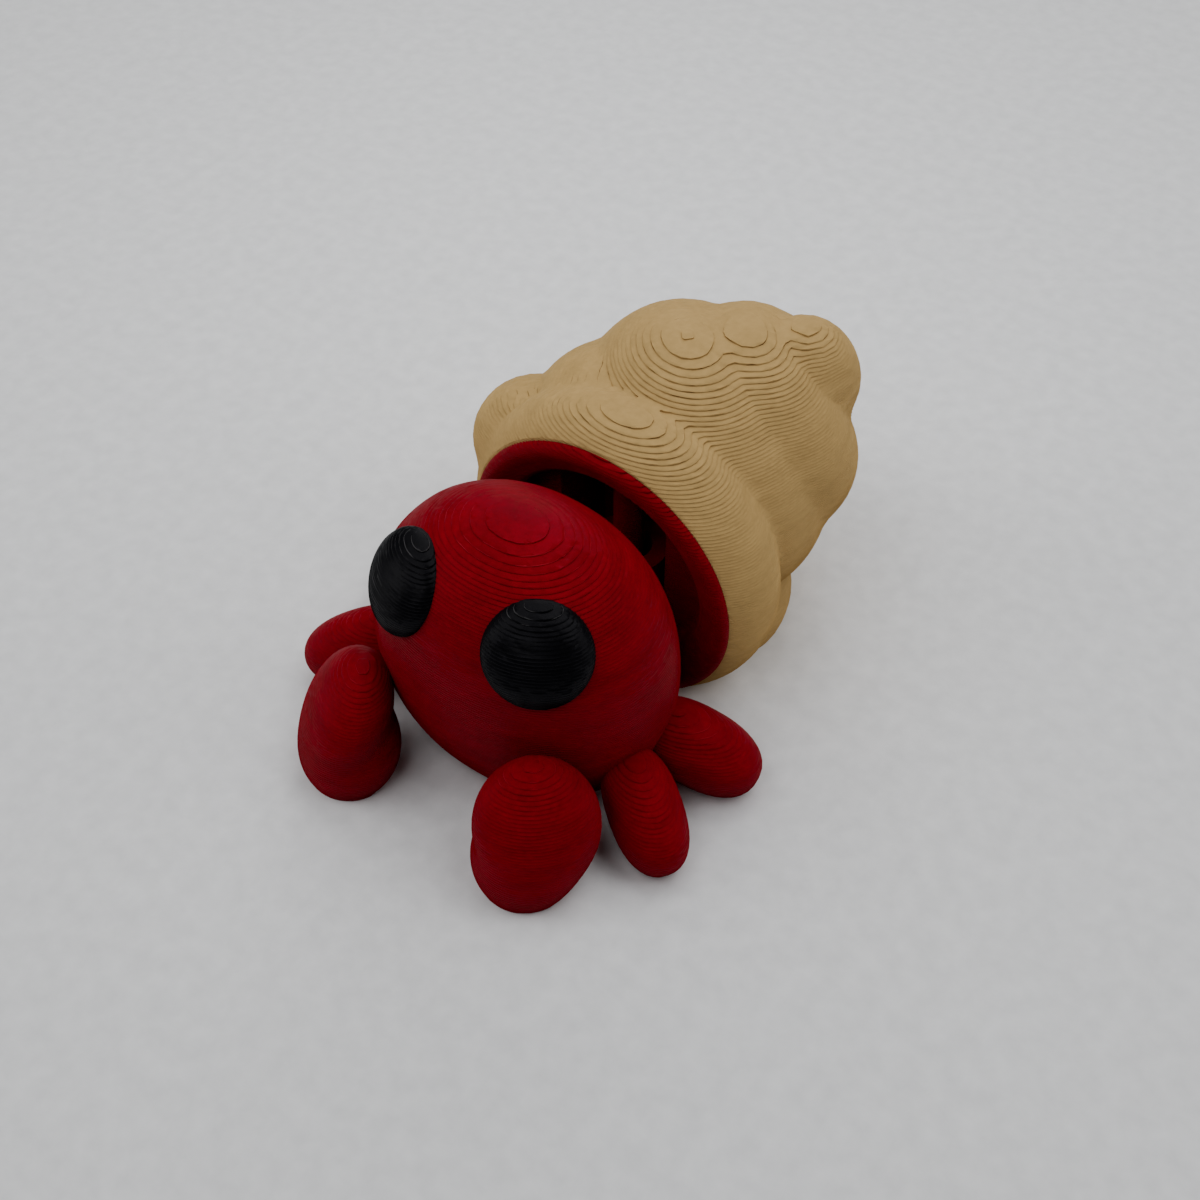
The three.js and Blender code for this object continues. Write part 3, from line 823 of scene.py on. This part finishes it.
def floor_material():
    """A light grey matte sheet with the faintest mottle, and a painted pool of light round one
    place on it.
    """
    material = bpy.data.materials.new("pale_floor")
    material.use_nodes = True
    nodes, links = material.node_tree.nodes, material.node_tree.links
    shader = nodes["Principled BSDF"]
    shader.inputs["Roughness"].default_value = 0.9
    place = nodes.new("ShaderNodeTexCoord")
    grain = nodes.new("ShaderNodeTexNoise")
    grain.inputs["Scale"].default_value = MOTTLE_SCALE
    grain.inputs["Detail"].default_value = MOTTLE_DETAIL
    links.new(place.outputs["Object"], grain.inputs["Vector"])
    mottle = two_tone(material, grain.outputs["Fac"], FLOOR_DARK, FLOOR_LIGHT, MOTTLE_RANGE)

    # The painted pool of light: the sheet's colour is scaled up near the pool's middle.
    away = nodes.new("ShaderNodeVectorMath")
    away.operation = "DISTANCE"
    away.inputs[1].default_value = [value * MM for value in LIGHT_POOL_MIDDLE]
    links.new(place.outputs["Object"], away.inputs[0])
    light_pool = nodes.new("ShaderNodeMapRange")
    light_pool.interpolation_type = "SMOOTHSTEP"
    light_pool.inputs["From Max"].default_value = LIGHT_POOL_REACH * MM
    light_pool.inputs["To Min"].default_value = LIGHT_POOL_GAIN
    light_pool.inputs["To Max"].default_value = 1.0
    links.new(away.outputs["Value"], light_pool.inputs[0])
    brighten = nodes.new("ShaderNodeVectorMath")
    brighten.operation = "SCALE"
    links.new(mottle, brighten.inputs[0])
    links.new(light_pool.outputs[0], brighten.inputs["Scale"])
    links.new(brighten.outputs[0], shader.inputs["Base Color"])
    return material


half = FLOOR_SIZE / 2
floor_mesh = as_mesh(
    "floor",
    [(-half, -half, 0), (half, -half, 0), (half, half, 0), (-half, half, 0)],
    [(0, 1, 2), (0, 2, 3)],
)
floor_mesh.materials.append(floor_material())
floor = bpy.data.objects.new("floor", floor_mesh)
bpy.context.scene.collection.objects.link(floor)

CAMERA_AZIMUTH, CAMERA_RISE = 35.5, 48.2  # degrees round from the front, and up
CAMERA_DISTANCE = 80.0  # millimetres from the middle of the head
CAMERA_OFFSET = (3.71, 2.04)  # to the right of the head's middle and above it, as seen
LENS, SENSOR = 47.55, 36.0
NEAREST, FARTHEST = 0.005, 10.0  # metres


def looking(azimuth, rise):
    """Right, up and back directions of a viewer at this azimuth and rise."""
    a, e = math.radians(azimuth), math.radians(rise)
    back = np.array([
        math.sin(a) * math.cos(e),
        -math.cos(a) * math.cos(e),
        math.sin(e),
    ])
    right = np.array([math.cos(a), math.sin(a), 0.0])
    return right, np.cross(back, right), back


right, up, back = looking(CAMERA_AZIMUTH, CAMERA_RISE)
lens = bpy.data.cameras.new("camera")
lens.lens, lens.sensor_width = LENS, SENSOR
lens.clip_start, lens.clip_end = NEAREST, FARTHEST
camera = bpy.data.objects.new("camera", lens)
bpy.context.scene.collection.objects.link(camera)
turn = np.eye(4)
turn[:3, 0], turn[:3, 1], turn[:3, 2] = right, up, back
aside = CAMERA_OFFSET[0] * right + CAMERA_OFFSET[1] * up
turn[:3, 3] = (HEAD_CENTRE + aside + CAMERA_DISTANCE * back + TOY_SHIFT) * MM
camera.matrix_world = Matrix(turn.tolist())
bpy.context.scene.camera = camera

# Soft lights round the toy: azimuth, rise and power in watts.
PANELS = (
    (-60, 60, 0.30), (0, 60, 0.37), (120, 60, 0.44), (180, 60, 0.44), (240, 60, 0.24),
    (-60, 28, 0.42), (120, 28, 0.29), (210, 28, 0.35),
)
PANEL_DISTANCE, PANEL_SIZE = 420, 260  # millimetres
SKY, SKY_STRENGTH = (0.95, 0.97, 1.0), 0.03


def panel(name, azimuth, rise, power):
    """A round soft light aimed at the toy from one direction."""
    light = bpy.data.lights.new(name, "AREA")
    light.shape = "DISK"
    light.size = PANEL_SIZE * MM
    light.energy = power
    o = bpy.data.objects.new(name, light)
    bpy.context.scene.collection.objects.link(o)
    m = np.eye(4)
    m[:3, 0], m[:3, 1], m[:3, 2] = looking(azimuth, rise)
    m[:3, 3] = (HEAD_CENTRE + TOY_SHIFT + PANEL_DISTANCE * m[:3, 2]) * MM
    o.matrix_world = Matrix(m.tolist())


for number, (azimuth, rise, power) in enumerate(PANELS):
    panel(f"panel_{number}", azimuth, rise, power)
world = bpy.data.worlds.new("studio")
world.use_nodes = True
background = world.node_tree.nodes["Background"]
background.inputs["Color"].default_value = (*SKY, 1)
background.inputs["Strength"].default_value = SKY_STRENGTH
bpy.context.scene.world = world
